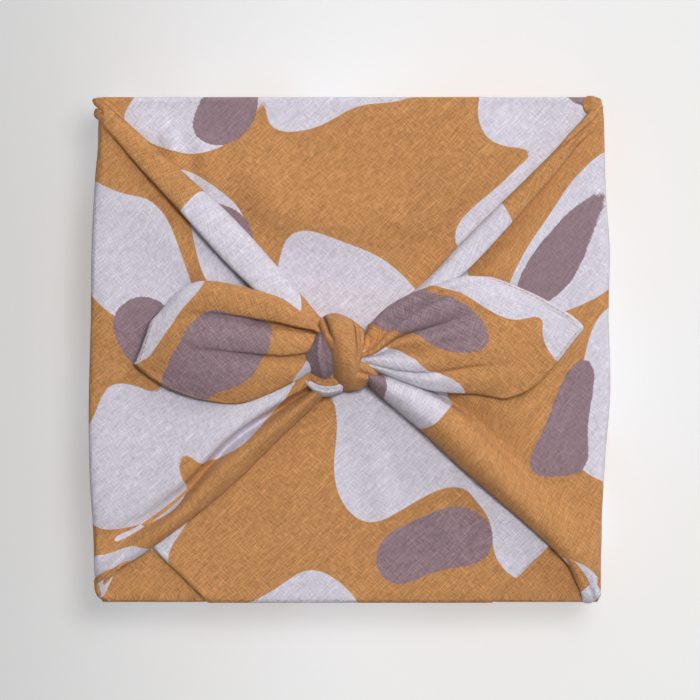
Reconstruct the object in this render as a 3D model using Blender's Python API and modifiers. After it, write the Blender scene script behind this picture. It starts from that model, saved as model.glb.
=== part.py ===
"""A furoshiki: one hemmed square of cloth wrapped around a flat square box and tied in a bow on top.

The square lies with its corners towards the four sides of the box. The front corner is folded over
the box first and the back corner over that, so these two make a closed sleeve with its layers on
top. The left and right corners come up last. Each is gathered into the knot, and its tail comes out
as an ear of the bow. The frame has its origin under the middle of the wrap, with +Z up, +Y to the
back and the ears along X. Sizes are in millimetres until a vertex is placed.
"""

import math

import bmesh
import bpy
from mathutils import Vector

MM = 0.001

# Driving sizes
BOX_SIDE = 246.0
BOX_TALL = 56.0
BOX_EDGE = 5.0
CLOTH = 1.4
GAP = 0.4
LAYER = CLOTH + GAP

# The back corner's tip adds a layer to the front wall, so the box stands this far behind the middle
BEHIND = LAYER / 2

# Levels of the cloth's middle surface, worked out from the box
BOTTOM = CLOTH / 2
BOX_FOOT = CLOTH + GAP
BOX_TOP = BOX_FOOT + BOX_TALL
INNER_TOP = BOX_TOP + GAP + CLOTH / 2
OUTER_TOP = INNER_TOP + LAYER
PANEL = OUTER_TOP + CLOTH / 2
WALL = BOX_SIDE / 2 + GAP + CLOTH / 2
OUTER_WALL = WALL + LAYER

# The sleeve that the front and back corners make
BEND = 2.0
FLAP_LENGTH = 320.0
HIDDEN_END = 236.0
FRONT_DROP = OUTER_TOP - 2.5
FLAT_HALF = WALL
TIP_HALF = 1.2
GUSSET_FOOT = 3.0
GUSSET_TOP = 17.0
CORNER_BEND = 3.0
CORNER_COLUMNS = 3
CROWN = 1.6

# The gathered sides
SIDE_EDGE = 122.5
SIDE_BULGE = 3.4
SIDE_WALL = (0.4, 9.0, 22.0, 36.0, 48.0, 56.0, 61.0)
EDGE_DRAWN_IN = 1.2
FOLD_START = 0.1
PULL_BEFORE_FOLD = 0.7
FOLD_ROW = 2
TUCKED = 2
SIDE_TOP = (0.0, 0.06, 0.14, 0.25, 0.38, 0.51, 0.64, 0.76, 0.87, 1.0)

OCHRE = (0.50, 0.235, 0.085, 1.0)
CARD = (0.55, 0.42, 0.29, 1.0)

# A gathered side is a fan of fold lines that run from the box's edge to the knot. Each row is one
# line, from the back to the front. It gives y and the height over the panel at the box's edge,
# halfway to the knot and at the knot.
LEFT_ROOT = -11.0
LEFT_SIDE = (
    # name, edge_y, edge_h, mid_y, mid_h, root_y, root_h
    ("tucked end at the back", 124.0, 1.2, 58, 1.2, 7.0, 2.5),
    ("underside at the back", 124.0, 1.3, 70, 1.4, 11.0, 3.0),
    ("back fold", 124.0, 1.9, 73.5, 3.8, 13.0, 5.4),
    ("crest of the band", 121.4, 2.6, 70, 6.6, 12.0, 8.0),
    ("middle of the band", 118.0, 3.0, 59.5, 8.2, 9.0, 9.6),
    ("lip of the band", 114.6, 3.0, 49.5, 8.4, 6.2, 9.8),
    ("underside of the lip", 112.2, 2.4, 47.0, 6.3, 5.2, 7.6),
    ("turn of the pleat", 110.4, 1.9, 52.5, 4.1, 7.6, 5.6),
    ("floor of the pleat", 107.6, 1.5, 48.5, 1.9, 5.0, 3.2),
    ("rise out of the pleat", 98, 1.8, 41, 3.2, 2.6, 4.4),
    ("first soft ridge", 78, 2.4, 31, 6.2, 0.2, 7.0),
    ("first hollow", 48, 2.2, 16, 4.4, -2.4, 5.0),
    ("second soft ridge", 15, 2.6, 1, 5.6, -5.0, 7.0),
    ("second hollow", -25, 2.2, -15, 4.2, -7.6, 5.0),
    ("third soft ridge", -62, 2.4, -32, 6.0, -10.2, 7.2),
    ("shoulder of the valley", -88, 2.2, -43, 6.4, -12.6, 7.4),
    ("valley", -103, 1.5, -52, 2.4, -14.6, 4.0),
    ("crest of the front roll", -115, 2.4, -62, 6.2, -18.0, 7.6),
    ("front fold", -124, 1.8, -70.5, 3.7, -22.0, 5.0),
    ("underside at the front", -124, 1.3, -67, 1.4, -20.6, 2.6),
    ("tucked end at the front", -124, 1.2, -56, 1.2, -16.4, 1.8),
)
RIGHT_ROOT = 6.0
RIGHT_SIDE = (
    ("tucked end at the back", 124.0, 1.2, 48, 1.2, 7.6, 2.2),
    ("underside at the back", 124.0, 1.3, 60.5, 1.4, 10.6, 2.8),
    ("back fold", 124.0, 1.9, 64.0, 3.6, 12.0, 5.4),
    ("crest of the band", 121.6, 2.5, 60.5, 6.4, 11.0, 8.0),
    ("middle of the band", 118.4, 2.9, 54.0, 7.6, 8.4, 9.4),
    ("lip of the band", 115.0, 2.9, 47.0, 7.6, 5.8, 9.4),
    ("underside of the lip", 113.2, 2.4, 45.5, 5.6, 4.8, 7.2),
    ("turn of the pleat", 111.4, 1.9, 50.0, 3.9, 7.0, 5.2),
    ("floor of the pleat", 108.6, 1.5, 45.0, 1.8, 3.8, 3.6),
    ("rise out of the pleat", 98, 1.8, 38, 3.4, 1.6, 4.8),
    ("first soft ridge", 76, 2.6, 28, 6.4, 0.2, 7.0),
    ("first hollow", 48, 2.4, 15, 4.4, -2.0, 5.0),
    ("second soft ridge", 16, 2.8, 2, 6.0, -4.2, 7.0),
    ("second hollow", -20, 2.4, -10, 4.4, -6.2, 5.0),
    ("third soft ridge", -52, 2.8, -22, 6.2, -8.2, 7.0),
    ("valley", -80, 2.2, -35, 3.6, -10.0, 4.8),
    ("rise of the front roll", -95, 3.2, -42, 9.0, -11.0, 8.4),
    ("crest of the front roll", -105, 4.4, -50, 11.4, -13.4, 10.6),
    ("face of the front roll", -114.5, 4.0, -59, 10.0, -16.4, 8.6),
    ("front fold", -124.0, 2.2, -65, 5.4, -18.0, 5.4),
    ("underside at the front", -124.0, 1.4, -62, 1.9, -16.6, 2.4),
    ("tucked end at the front", -124.0, 1.2, -52, 1.2, -12.8, 1.6),
)

# An ear is a fan too, from the knot to the cloth's corner. Each row gives a fold line's y and height
# at the knot, a point halfway along it, and where it ends on the outline, with x counted from the
# middle of the wrap outwards.
LEFT_EAR_ROOT = 12.0
LEFT_EAR = (
    # name, root_y, root_h, mid_x, mid_y, mid_h, end_x, end_y, end_h
    ("tucked end of the roll", 5.0, 12.0, 40, 19, 12.5, 66, 23, 11),
    ("underside of the roll", 8.6, 12.6, 42, 28.5, 14, 69, 31, 11.5),
    ("back outline", 10.2, 15.2, 43, 31.5, 17.5, 72, 34, 14),
    ("crest of the roll", 8.8, 18.2, 45, 27, 21.5, 82, 28, 16),
    ("slope of the roll", 6.4, 19.4, 46, 20.5, 20.5, 92, 20, 15),
    ("crease", 4.0, 16.4, 47, 14.5, 16.0, 98, 13, 12.5),
    ("middle ridge", 1.2, 19.2, 50, 5, 19.5, 103, 3.5, 11),
    ("line to the tip", -2.0, 19.8, 54, -4, 18.5, 108, -6.5, 8.5),
    ("front face", -5.0, 19.2, 50, -11, 18, 98, -13, 9.5),
    ("front slope", -7.6, 17.6, 46, -18, 18, 88, -19.5, 10.5),
    ("front outline", -9.6, 15.0, 38, -22.5, 15.5, 72, -25.5, 11),
    ("front hem", -9.4, 12.4, 32, -20.5, 12.5, 56, -27.5, 10.5),
)
RIGHT_EAR_ROOT = 4.0
RIGHT_EAR = (
    ("tucked end at the back", 4.6, 11.4, 34, 20, 12.5, 58, 26, 10.6),
    ("underside at the back", 8.0, 12.0, 34, 27, 13.5, 64, 32.5, 10.8),
    ("back outline", 10.0, 14.4, 34, 30.5, 16, 72, 36.0, 13),
    ("back strip", 8.6, 17.4, 35, 26, 17.4, 82, 32.5, 13.5),
    ("hollow of the strip", 6.0, 15.4, 36, 22, 15, 92, 28, 12.5),
    ("first lobe", 3.6, 19.0, 38, 18.5, 20, 101, 23, 12),
    ("first crease", 1.2, 16.2, 40, 11, 17, 109, 17.5, 11),
    ("line to the tip", -1.4, 19.4, 44, 4, 21, 116.5, 12, 8.5),
    ("slope of the middle lobe", -4.0, 19.0, 44, -4, 20, 110, 3, 9.5),
    ("second crease", -6.2, 16.0, 43, -11, 16.5, 103.5, -4.5, 10),
    ("front lobe", -8.4, 17.0, 42, -16, 17.5, 96, -12.5, 10.5),
    ("front outline", -10.2, 14.2, 40, -19.5, 15, 87, -20.5, 11),
    ("front hem", -9.6, 11.6, 38, -17.5, 12.5, 74, -25, 12),
)
EAR_SAMPLES = (0.0, 0.10, 0.21, 0.33, 0.45, 0.58, 0.71, 0.84, 0.94, 1.0)

# The knot's rolls of gathered cloth: a line of three points, each x, y and height over the panel,
# and the half width and half thickness of the flattened roll.
KNOT_ROLLS = (
    # name, start, middle, end, half_width, half_thick, blunt
    ("core", (-22, -4, 6), (-5, -4, 7), (12, -3, 6), 15.0, 6.5, 0.5),
    ("bundle", (-20, 0, 15), (-4, -1, 17), (11, 0, 15), 11.5, 7.4, 0.45),
    ("left wrap", (-13, 11, 10), (-16.5, -3, 20), (-11, -17, 8), 6.6, 4.2, 0.55),
    ("right wrap", (2, 15, 13), (7, 4, 21), (5, -9, 14), 3.6, 3.4, 0.5),
    ("front roll", (-21, -8, 7), (-14, -19, 9), (0, -18, 7), 5.0, 4.0, 0.5),
    ("right end", (2, -8, 8), (9, -12.5, 11), (15, -14, 5), 4.2, 3.0, 0.5),
    ("over band", (-6.5, 17, 6), (0.5, 2, 27), (-1.5, -20.5, 6), 8.6, 3.6, 0.3),
)


def through_three(first, middle, last, share):
    """The parabola that passes first at 0, middle at one half and last at 1."""
    return (
        first * (1 - share) * (1 - 2 * share)
        + middle * 4 * share * (1 - share)
        + last * share * (2 * share - 1)
    )


def sheet(name, columns, rows, place, material, left_out=None):
    """A grid of cloth whose vertex in each column and row is put where place says, then thickened.

    left_out says which of the grid's faces the cloth does without.
    """
    mesh = bpy.data.meshes.new(name)
    grid = bmesh.new()
    bmesh.ops.create_grid(grid, x_segments=columns - 1, y_segments=rows - 1, size=0.5)
    spots = {}
    for vertex in grid.verts:
        column = round((vertex.co.x + 0.5) * (columns - 1))
        row = round((vertex.co.y + 0.5) * (rows - 1))
        spots[vertex] = (column, row)
        vertex.co = (Vector(place(column, row)) + Vector((0, BEHIND, 0))) * MM
    if left_out:
        gone = []
        for face in grid.faces:
            column = min(spots[vertex][0] for vertex in face.verts)
            row = min(spots[vertex][1] for vertex in face.verts)
            if left_out(column, row):
                gone.append(face)
        bmesh.ops.delete(grid, geom=gone, context="FACES")
    bmesh.ops.recalc_face_normals(grid, faces=grid.faces)
    grid.to_mesh(mesh)
    grid.free()
    mesh.materials.append(material)
    cloth = bpy.data.objects.new(name, mesh)
    thick = cloth.modifiers.new("Cloth thickness", "SOLIDIFY")
    thick.thickness = CLOTH * MM
    thick.offset = 0.0
    return cloth


def rounded(corner, start, end):
    """Three points of the bend at a corner of the sleeve's section, between two directions."""
    (cy, cz), (sy, sz), (ey, ez) = corner, start, end
    centre = (cy + BEND * (sy + ey), cz + BEND * (sz + ez))
    return [
        (centre[0] - BEND * ey, centre[1] - BEND * ez),
        (centre[0] - BEND * (sy + ey) * math.sqrt(0.5), centre[1] - BEND * (sz + ez) * math.sqrt(0.5)),
        (centre[0] - BEND * sy, centre[1] - BEND * sz),
    ]


def sleeve_section():
    """The stations of the sleeve, from the front corner's hidden end to the back corner's tip.

    Each is y, z, the half width, how far the cloth goes round the upright edges, and its share of
    the crown that the top has.
    """
    stations = []

    def top(reaches, level, edge, way):
        for reach in reaches:
            half = min(FLAT_HALF, max(FLAP_LENGTH - reach, TIP_HALF))
            stations.append((edge + way * reach, level, half, 0.0, 1.0))

    def bend(corner, start, end, half):
        for y, z in rounded(corner, start, end):
            stations.append((y, z, half, 0.0, 0.0))

    def wall(y, levels):
        for z in levels:
            gusset = GUSSET_FOOT + (GUSSET_TOP - GUSSET_FOOT) * z / INNER_TOP
            stations.append((y, z, WALL, gusset, 0.0))

    turning = FLAP_LENGTH - FLAT_HALF
    top((HIDDEN_END, 210, turning, 140, 95, 55, 22), INNER_TOP, -WALL, 1)
    bend((-WALL, INNER_TOP), (1, 0), (0, -1), FLAT_HALF)
    wall(-WALL, (50, 30, 10))
    bend((-WALL, BOTTOM), (0, 1), (1, 0), FLAT_HALF)
    stations.extend((y, BOTTOM, OUTER_WALL + 0.3, 0.0, 0.0) for y in (-WALL + 6, -60, 0, 60, WALL - 6))
    bend((WALL, BOTTOM), (-1, 0), (0, 1), FLAT_HALF)
    wall(WALL, (10, 30, 50))
    bend((WALL, OUTER_TOP), (0, -1), (-1, 0), FLAT_HALF)
    top((22, 50, 80, 110, 145, turning, 205, 225, 240), OUTER_TOP, WALL, -1)
    front = OUTER_WALL + WALL
    for y, z in rounded((-OUTER_WALL, OUTER_TOP), (1, 0), (0, -1)):
        stations.append((y, z, FLAP_LENGTH - front, 0.0, 0.0))
    for drop in (16, 32, 47, FRONT_DROP):
        half = (FLAP_LENGTH - front) * (1 - drop / FRONT_DROP) + TIP_HALF * drop / FRONT_DROP
        stations.append((-OUTER_WALL, OUTER_TOP - drop, half, 0.0, 0.0))
    return stations


def crown(x, y):
    """How far the top swells over the box: most in the middle and nothing at the edges."""
    return CROWN * max(0.0, 1 - (x / WALL) ** 2) * max(0.0, 1 - (y / WALL) ** 2)


def sleeve(material):
    stations = sleeve_section()
    flat = (0.0, 0.24, 0.46, 0.66, 0.84, 0.955, 0.98, 0.99, 1.0)
    shares = [-share for share in reversed(flat[1:])] + list(flat)
    straight = WALL - CORNER_BEND

    def place(column, row):
        y, z, half, gusset, swell = stations[row]
        share = shares[column]
        side = math.copysign(1.0, share)
        turned = abs(column - len(flat) + 1) - (len(flat) - 1 - CORNER_COLUMNS)
        if gusset and turned > 0:
            turn = turned * math.pi / 2 / (CORNER_COLUMNS - 1)
            inward = math.copysign(1.0, -y)
            if turned < CORNER_COLUMNS:
                x = straight + CORNER_BEND * math.sin(turn)
                return side * x, y + inward * CORNER_BEND * (1 - math.cos(turn)), z
            return side * WALL, y + inward * (CORNER_BEND + gusset), z
        x = share * half
        return x, y, z + swell * crown(x, y)

    return sheet("sleeve", len(shares), len(stations), place, material)


def gathered_side(name, table, root, material):
    """One side of the wrap: up the outside of the box, over its edge and in to the knot."""
    edge = math.copysign(SIDE_EDGE, root)

    def place(column, row):
        _, edge_y, edge_h, mid_y, mid_h, root_y, root_h = table[column]
        bulge = SIDE_BULGE * (1 - (edge_y / WALL) ** 2)
        if row < len(SIDE_WALL):
            z = SIDE_WALL[row]
            out = OUTER_WALL + 0.1 + bulge * math.sin(math.pi * 0.5 * z / PANEL)
            drawn_in = EDGE_DRAWN_IN if row == len(SIDE_WALL) - 1 else 0.0
            return math.copysign(out - drawn_in, root), edge_y, z
        share = SIDE_TOP[row - len(SIDE_WALL)]
        x = edge + (root - edge) * share
        if share < FOLD_START:
            y = edge_y * (1 - PULL_BEFORE_FOLD * share)
        else:
            y = through_three(edge_y, mid_y, root_y, share)
        z = PANEL + crown(x, y) + through_three(edge_h, mid_h, root_h, share)
        return x, y, z

    def before_the_fold(column, row):
        turned_under = column < TUCKED or column >= len(table) - 1 - TUCKED
        return turned_under and row < len(SIDE_WALL) + FOLD_ROW

    rows = len(SIDE_WALL) + len(SIDE_TOP)
    return sheet(name, len(table), rows, place, material, before_the_fold)


def ear(name, table, way, root_x, material):
    """One tail of the knot: a fan from the knot to the hemmed corner of the cloth."""

    def place(column, row):
        _, root_y, root_h, mid_x, mid_y, mid_h, end_x, end_y, end_h = table[column]
        share = EAR_SAMPLES[row]
        x = through_three(root_x, mid_x, end_x, share)
        y = through_three(root_y, mid_y, end_y, share)
        z = PANEL + through_three(root_h, mid_h, end_h, share)
        return way * x, y, z

    return sheet(name, len(table), len(EAR_SAMPLES), place, material)


def knot_roll(name, start, middle, end, half_width, half_thick, blunt, material):
    """A flattened roll of cloth along a curve through three points, from a sphere's rings."""
    mesh = bpy.data.meshes.new(name)
    ball = bmesh.new()
    bmesh.ops.create_uvsphere(ball, u_segments=14, v_segments=12, radius=1.0)
    line = [Vector(point) for point in (start, middle, end)]

    def at(share):
        return through_three(line[0], line[1], line[2], share)

    for vertex in ball.verts:
        share = math.acos(max(-1.0, min(1.0, vertex.co.z))) / math.pi
        along = (at(min(share + 0.02, 1.0)) - at(max(share - 0.02, 0.0))).normalized()
        level = Vector((1, 0, 0)) if abs(along.x) < 0.7 else Vector((0, 1, 0))
        side = (level - along * level.dot(along)).normalized()
        over = along.cross(side)
        swell = math.sin(math.pi * share) ** blunt if 0.001 < share < 0.999 else 0.0
        round_about = Vector((vertex.co.x, vertex.co.y)).normalized() * swell
        place = at(share) + side * round_about.x * half_width + over * round_about.y * half_thick
        vertex.co = (place + Vector((0, BEHIND, PANEL))) * MM
    bmesh.ops.recalc_face_normals(ball, faces=ball.faces)
    ball.to_mesh(mesh)
    ball.free()
    mesh.materials.append(material)
    return bpy.data.objects.new(name, mesh)


def finish(name, colour, roughness):
    material = bpy.data.materials.new(name)
    material.use_nodes = True
    shader = material.node_tree.nodes["Principled BSDF"]
    shader.inputs["Base Color"].default_value = colour
    shader.inputs["Roughness"].default_value = roughness
    shader.inputs["Metallic"].default_value = 0.0
    return material


def without_pockets(source, name):
    """The evaluated cloth as a mesh, without the pockets that the union closes between its folds."""
    graph = bpy.context.evaluated_depsgraph_get()
    mesh = bpy.data.meshes.new_from_object(source.evaluated_get(graph))
    body = bmesh.new()
    body.from_mesh(mesh)
    left = set(body.faces)
    shells = []
    while left:
        shell, reach = set(), [left.pop()]
        while reach:
            face = reach.pop()
            shell.add(face)
            for edge in face.edges:
                for other in edge.link_faces:
                    if other in left:
                        left.remove(other)
                        reach.append(other)
        shells.append(shell)
    shells.sort(key=len)
    for shell in shells[:-1]:
        bmesh.ops.delete(body, geom=list(shell), context="FACES")
    body.to_mesh(mesh)
    body.free()
    mesh.name = name
    return mesh, len(shells) - 1


def box(material, collection):
    bpy.ops.mesh.primitive_cube_add(size=1.0)
    card = bpy.context.active_object
    card.name = "gift_box"
    card.scale = (BOX_SIDE * MM, BOX_SIDE * MM, BOX_TALL * MM)
    card.location = (0.0, BEHIND * MM, (BOX_FOOT + BOX_TALL / 2) * MM)
    bpy.ops.object.transform_apply(location=False, rotation=False, scale=True)
    edges = card.modifiers.new("Folded edges", "BEVEL")
    edges.width = BOX_EDGE * MM
    edges.segments = 3
    card.data.materials.append(material)
    for other in list(card.users_collection):
        other.objects.unlink(card)
    collection.objects.link(card)
    return card


def main():
    for old in list(bpy.data.objects):
        bpy.data.objects.remove(old, do_unlink=True)
    scene = bpy.context.scene
    wrap = bpy.data.collections.new("furoshiki wrap")
    folds = bpy.data.collections.new("folds to join")
    scene.collection.children.link(wrap)
    scene.collection.children.link(folds)
    cloth_finish = finish("printed cloth", OCHRE, 0.9)
    card_finish = finish("plain card", CARD, 0.8)

    cloth = sleeve(cloth_finish)
    folds.objects.link(cloth)
    pieces = [
        gathered_side("left side", LEFT_SIDE, LEFT_ROOT, cloth_finish),
        gathered_side("right side", RIGHT_SIDE, RIGHT_ROOT, cloth_finish),
        ear("left ear", LEFT_EAR, -1, LEFT_EAR_ROOT, cloth_finish),
        ear("right ear", RIGHT_EAR, 1, RIGHT_EAR_ROOT, cloth_finish),
    ]
    pieces += [knot_roll(*roll, cloth_finish) for roll in KNOT_ROLLS]
    for piece in pieces:
        folds.objects.link(piece)
        piece.hide_render = True
        piece.display_type = "WIRE"
        join = cloth.modifiers.new("Join the " + piece.name, "BOOLEAN")
        join.operation = "UNION"
        join.solver = "EXACT"
        join.object = piece
    mesh, pockets = without_pockets(cloth, "furoshiki_cloth")
    print("closed pockets taken out of the folds:", pockets)
    cloth.hide_render = True
    cloth.display_type = "WIRE"
    wrapped = bpy.data.objects.new("furoshiki_cloth", mesh)
    wrap.objects.link(wrapped)
    mesh.shade_smooth()
    mesh.set_sharp_from_angle(angle=math.radians(50))
    box(card_finish, wrap)


main()
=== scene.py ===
# %% [markdown]
# # A furoshiki wrap
# A furoshiki is one hemmed square of cloth. This one lies cornerwise under a flat square box. Its
# front corner and then its back corner are folded over the box, and the two side corners are
# gathered up and tied in a square knot, so that their tips spread as two ears.
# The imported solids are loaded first, because everything that is added here has to sit on them.

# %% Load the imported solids
import math

import bmesh
import bpy
import numpy as np
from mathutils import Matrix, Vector


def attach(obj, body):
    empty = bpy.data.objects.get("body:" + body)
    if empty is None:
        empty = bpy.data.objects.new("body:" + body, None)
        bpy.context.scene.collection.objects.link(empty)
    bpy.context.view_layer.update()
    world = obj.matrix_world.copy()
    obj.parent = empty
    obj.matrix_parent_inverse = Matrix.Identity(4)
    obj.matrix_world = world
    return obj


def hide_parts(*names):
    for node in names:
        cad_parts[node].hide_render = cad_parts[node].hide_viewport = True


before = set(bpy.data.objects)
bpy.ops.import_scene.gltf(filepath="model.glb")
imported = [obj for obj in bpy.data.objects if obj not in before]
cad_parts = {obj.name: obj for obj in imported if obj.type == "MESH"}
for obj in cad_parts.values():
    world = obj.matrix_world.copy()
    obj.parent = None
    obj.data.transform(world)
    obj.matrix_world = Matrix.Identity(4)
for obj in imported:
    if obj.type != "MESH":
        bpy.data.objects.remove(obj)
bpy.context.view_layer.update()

# %% [markdown]
# ## Sizes
# Cloth takes its shape from what is inside it, so every level is counted from the box: one layer of
# cloth under it, two on top, and a small gap to each. Sizes are in millimetres, and a vertex is
# turned to metres when it is made.

# %% Sizes of the box, the cloth and its layers
MM = 0.001
BOX_SIDE = 246.0
BOX_TALL = 56.0
SOLID_CLOTH = 1.4
GAP = 0.4
LAYER = SOLID_CLOTH + GAP
BEHIND = LAYER / 2

BOTTOM = SOLID_CLOTH / 2
INNER_TOP = SOLID_CLOTH + GAP + BOX_TALL + GAP + SOLID_CLOTH / 2
OUTER_TOP = INNER_TOP + LAYER
PANEL = OUTER_TOP + SOLID_CLOTH / 2
WALL = BOX_SIDE / 2 + GAP + SOLID_CLOTH / 2
OUTER_WALL = WALL + LAYER
FLAP_LENGTH = 320.0
CLOTH_REACH = WALL + INNER_TOP + FLAP_LENGTH
print("half diagonal of the cloth:", round(CLOTH_REACH), "mm; top of the wrap:", PANEL, "mm")

# %% [markdown]
# ## Fold lines into cloth
# Folded cloth could be simulated, but a tied knot rarely settles where a picture shows it. Here each
# fold is drawn as a line of points, and the lines are listed side by side in the order in which the
# cloth runs over them. A smooth surface through all the lines is then the folded cloth. It is a grid,
# so the place of every point on the flat cloth is known too: `flat_cloth` keeps it, with the distance
# to the hem as its third number, and the print and the weave follow it over every fold.

# %% A smooth surface through fold lines
FAR_FROM_HEM = 60.0


def between(points, steps):
    """Points of a Catmull-Rom curve through the rows of points, with that many steps in each span."""
    points = np.asarray(points, float)
    ends = [2 * points[0] - points[1]], [2 * points[-1] - points[-2]]
    padded = np.concatenate([ends[0], points, ends[1]])
    made = []
    for span in range(len(points) - 1):
        a, b, c, d = padded[span : span + 4]
        for step in range(steps):
            t = step / steps
            made.append(
                0.5
                * (
                    2 * b
                    + (c - a) * t
                    + (2 * a - 5 * b + 4 * c - d) * t**2
                    + (3 * b - a - 3 * c + d) * t**3
                )
            )
    made.append(points[-1])
    return np.array(made)


def surface(lines, across, along):
    """The grid through fold lines: lines[line][station] is a point. Both ways are made smooth."""
    lines = np.asarray(lines, float)
    by_line = between(lines, across)
    return between(by_line.swapaxes(0, 1), along).swapaxes(0, 1)


def arc(points, start):
    """Distance along each row of points (axis 0), counted from the row called start."""
    steps = np.linalg.norm(np.diff(points, axis=0), axis=-1)
    reach = np.concatenate([np.zeros((1,) + steps.shape[1:]), np.cumsum(steps, axis=0)])
    return reach - reach[start]


def flat_places(points, start, root, way):
    """Where a grid's points lie on the flat cloth, without the distance to the hem.

    Threads keep their length, so p grows along each line as the line does, from root at its first
    point, and q is what is left of the steps across, counted from the line called start.
    """
    run = np.stack([arc(line, 0) for line in points])
    p = root + way * run
    steps = np.linalg.norm(np.diff(points, axis=0), axis=-1)
    across = np.sqrt(np.maximum(steps**2 - np.diff(p, axis=0) ** 2, (0.3 * steps) ** 2))
    q = -np.concatenate([np.zeros((1, points.shape[1])), np.cumsum(across, axis=0)])
    q -= q[start]
    return np.stack([p, q, np.full_like(q, FAR_FROM_HEM)], axis=-1)


cloth = bmesh.new()
flat_cloth = cloth.verts.layers.float_vector.new("flat_cloth")


def add_grid(points, flat, keep=None):
    """Adds a grid of cloth: points and flat are (columns, rows, 3) in millimetres."""
    columns, rows = points.shape[:2]
    made = bmesh.ops.create_grid(cloth, x_segments=columns - 1, y_segments=rows - 1, size=0.5)
    spots = {}
    for vertex in made["verts"]:
        column = round((vertex.co.x + 0.5) * (columns - 1))
        row = round((vertex.co.y + 0.5) * (rows - 1))
        spots[vertex] = (column, row)
    for vertex, (column, row) in spots.items():
        vertex.co = (Vector(points[column, row]) + Vector((0, BEHIND, 0))) * MM
        vertex[flat_cloth] = Vector(flat[column, row]) * MM
    if keep is not None:
        faces = {face for vertex in spots for face in vertex.link_faces}
        gone = []
        for face in faces:
            column = min(spots[vertex][0] for vertex in face.verts)
            row = min(spots[vertex][1] for vertex in face.verts)
            if not keep(column, row):
                gone.append(face)
        bmesh.ops.delete(cloth, geom=gone, context="FACES")
    print("cloth so far:", len(cloth.faces), "faces")


# %% [markdown]
# ## The sleeve
# The front and the back corner make a sleeve round the box. In side view it is one line: it starts at
# the hidden end of the front corner on top, goes down the front, under the box, up the back, over the
# top as the visible panel, and hangs down the front as a point. Each station of that line says how
# wide the cloth is there, because the hems run at 45 degrees and meet in the point.

# %% The sleeve
BEND = 2.0
HIDDEN_END = 236.0
HALF_STEP = 0.45
FRONT_DROP = OUTER_TOP - 2.5
CROWN = 1.6
EDGE_IN = 1.6
SLEEVE_COLUMNS = 75
TOP_ROWS = 72


def crown(x, y):
    """How far the top swells over the box: most in the middle and nothing at the edges."""
    return CROWN * np.maximum(0, 1 - (x / WALL) ** 2) * np.maximum(0, 1 - (y / WALL) ** 2)


def corner(y, z, start, end, steps=4):
    """Points round a bend of the sleeve's line at (y, z), from one direction to another."""
    centre = np.array((y, z)) + BEND * (np.array(start) + np.array(end))
    turns = np.linspace(0, math.pi / 2, steps + 1)
    return [
        centre - BEND * (np.array(end) * math.cos(turn) + np.array(start) * math.sin(turn))
        for turn in turns
    ]


def sleeve_line():
    """The sleeve's side view as (y, z, kind), where kind says which part of it a station is on."""
    line = []
    for reach in np.linspace(2 * HIDDEN_END - FLAP_LENGTH + 3, HIDDEN_END - 1, 6):
        line.append((-WALL + reach, INNER_TOP + HALF_STEP, "inner"))
    for reach in np.linspace(HIDDEN_END, 120, 6):
        line.append((-WALL + reach, INNER_TOP - HALF_STEP, "inner"))
    for reach in (95, 78):
        line.append((-WALL + reach, INNER_TOP, "inner"))
    for reach in np.linspace(62, 8, 12):
        line.append((-WALL + reach, INNER_TOP, "inner"))
    line += [(y, z, "inner") for y, z in corner(-WALL, INNER_TOP, (1, 0), (0, -1))]
    line += [(-WALL, z, "front") for z in np.linspace(INNER_TOP - 5, 6, 9)]
    line += [(y, z, "under") for y, z in corner(-WALL, BOTTOM, (0, 1), (1, 0))]
    line += [(y, BOTTOM, "under") for y in np.linspace(-WALL + 8, WALL - 8, 9)]
    line += [(y, z, "under") for y, z in corner(WALL, BOTTOM, (-1, 0), (0, 1))]
    line += [(WALL, z, "back") for z in np.linspace(6, INNER_TOP - 5, 9)]
    line += [(y, z, "outer") for y, z in corner(WALL, OUTER_TOP, (0, -1), (-1, 0))]
    line += [(y, OUTER_TOP, "outer") for y in np.linspace(WALL - 4, -WALL + 4, TOP_ROWS)]
    line += [(y, z, "outer") for y, z in corner(-OUTER_WALL, OUTER_TOP, (1, 0), (0, -1))]
    line += [(-OUTER_WALL, z, "drop") for z in np.linspace(OUTER_TOP - 5, OUTER_TOP - FRONT_DROP, 16)]
    return line


def half_width(y, z, kind, reach):
    """Half the cloth's width at a station of the sleeve that lies reach beyond the box's edge."""
    if kind == "under":
        return OUTER_WALL + 0.3
    if kind == "drop":
        at_edge = FLAP_LENGTH - (OUTER_WALL + WALL)
        return 1.2 + (at_edge - 1.2) * (1 - (OUTER_TOP - z) / FRONT_DROP)
    near_edge = max(0.0, (abs(y) - (WALL - 4)) / 4)
    edge = WALL - EDGE_IN * min(1.0, near_edge**2)
    if kind in ("front", "back"):
        return edge
    return min(edge, max(FLAP_LENGTH - reach, 1.2))


WAVES = (
    # name, start and end as x, y, then the half width on its left and on its right, and the height
    ("small wave at the corner", -105, 115, -97, 98, 2.8, 2.4, 1.8),
    ("first wave by the left band", -95, 114, -82, 84, 4, 3.4, 3.4),
    ("second wave", -79, 110, -66, 74, 8, 5, 3),
    ("ridge along the left band", -60, 94, -20, 52, 16, 10, 5.5),
    ("ridge along the right band", 26, 52, 84, 114, 20, 9, 7.5),
    ("hump behind the knot", -28, 64, 28, 62, 18, 15, 5),
    ("pull in front of the knot", -10, -30, -34, -86, 8, 6, 2.4),
    ("second pull in front", 8, -34, 18, -88, 7, 6, 2.4),
    ("third pull in front", 30, -48, 52, -100, 8, 8, 2.2),
)
FRONT_BULGE = 1.5


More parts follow.
